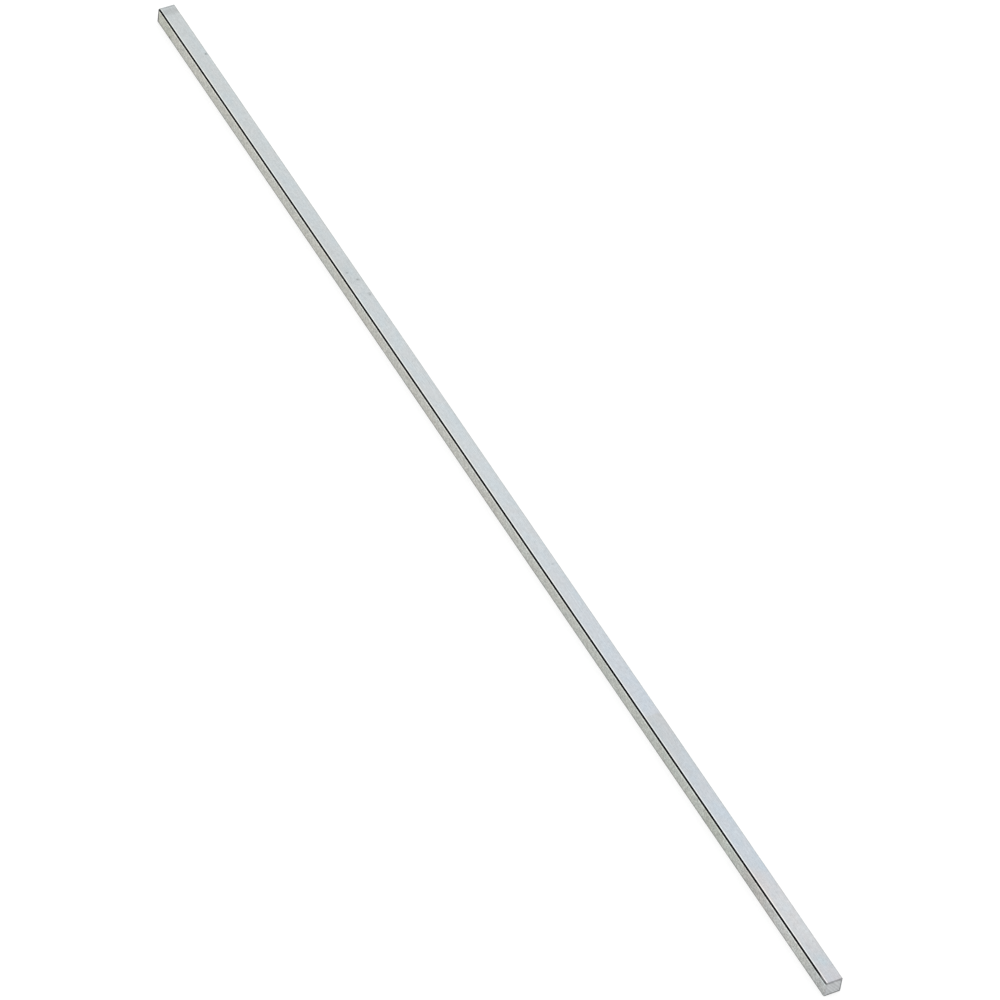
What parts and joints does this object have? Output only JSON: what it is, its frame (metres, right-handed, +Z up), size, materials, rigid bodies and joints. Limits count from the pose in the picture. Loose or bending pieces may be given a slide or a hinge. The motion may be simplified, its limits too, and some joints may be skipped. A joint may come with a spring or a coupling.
{
  "type": "square key stock",
  "caption": "Long solid bar of square section with small rounded corners and square-cut ends, bright plated, from which shaft keys are cut to length.",
  "frame": {"origin": "on the face that the bar lies on, below the middle of its length and of its width", "axes": "+X along the bar, +Z up from the face that it lies on, +Y across it"},
  "size_m": [0.3048, 0.004, 0.004],
  "materials": {
    "plated_steel": "bright zinc plate over cold-drawn steel, with faint lengthwise draw lines"
  },
  "bodies": {
    "root": {"key_bar": "plated_steel"}
  },
  "joints": []
}
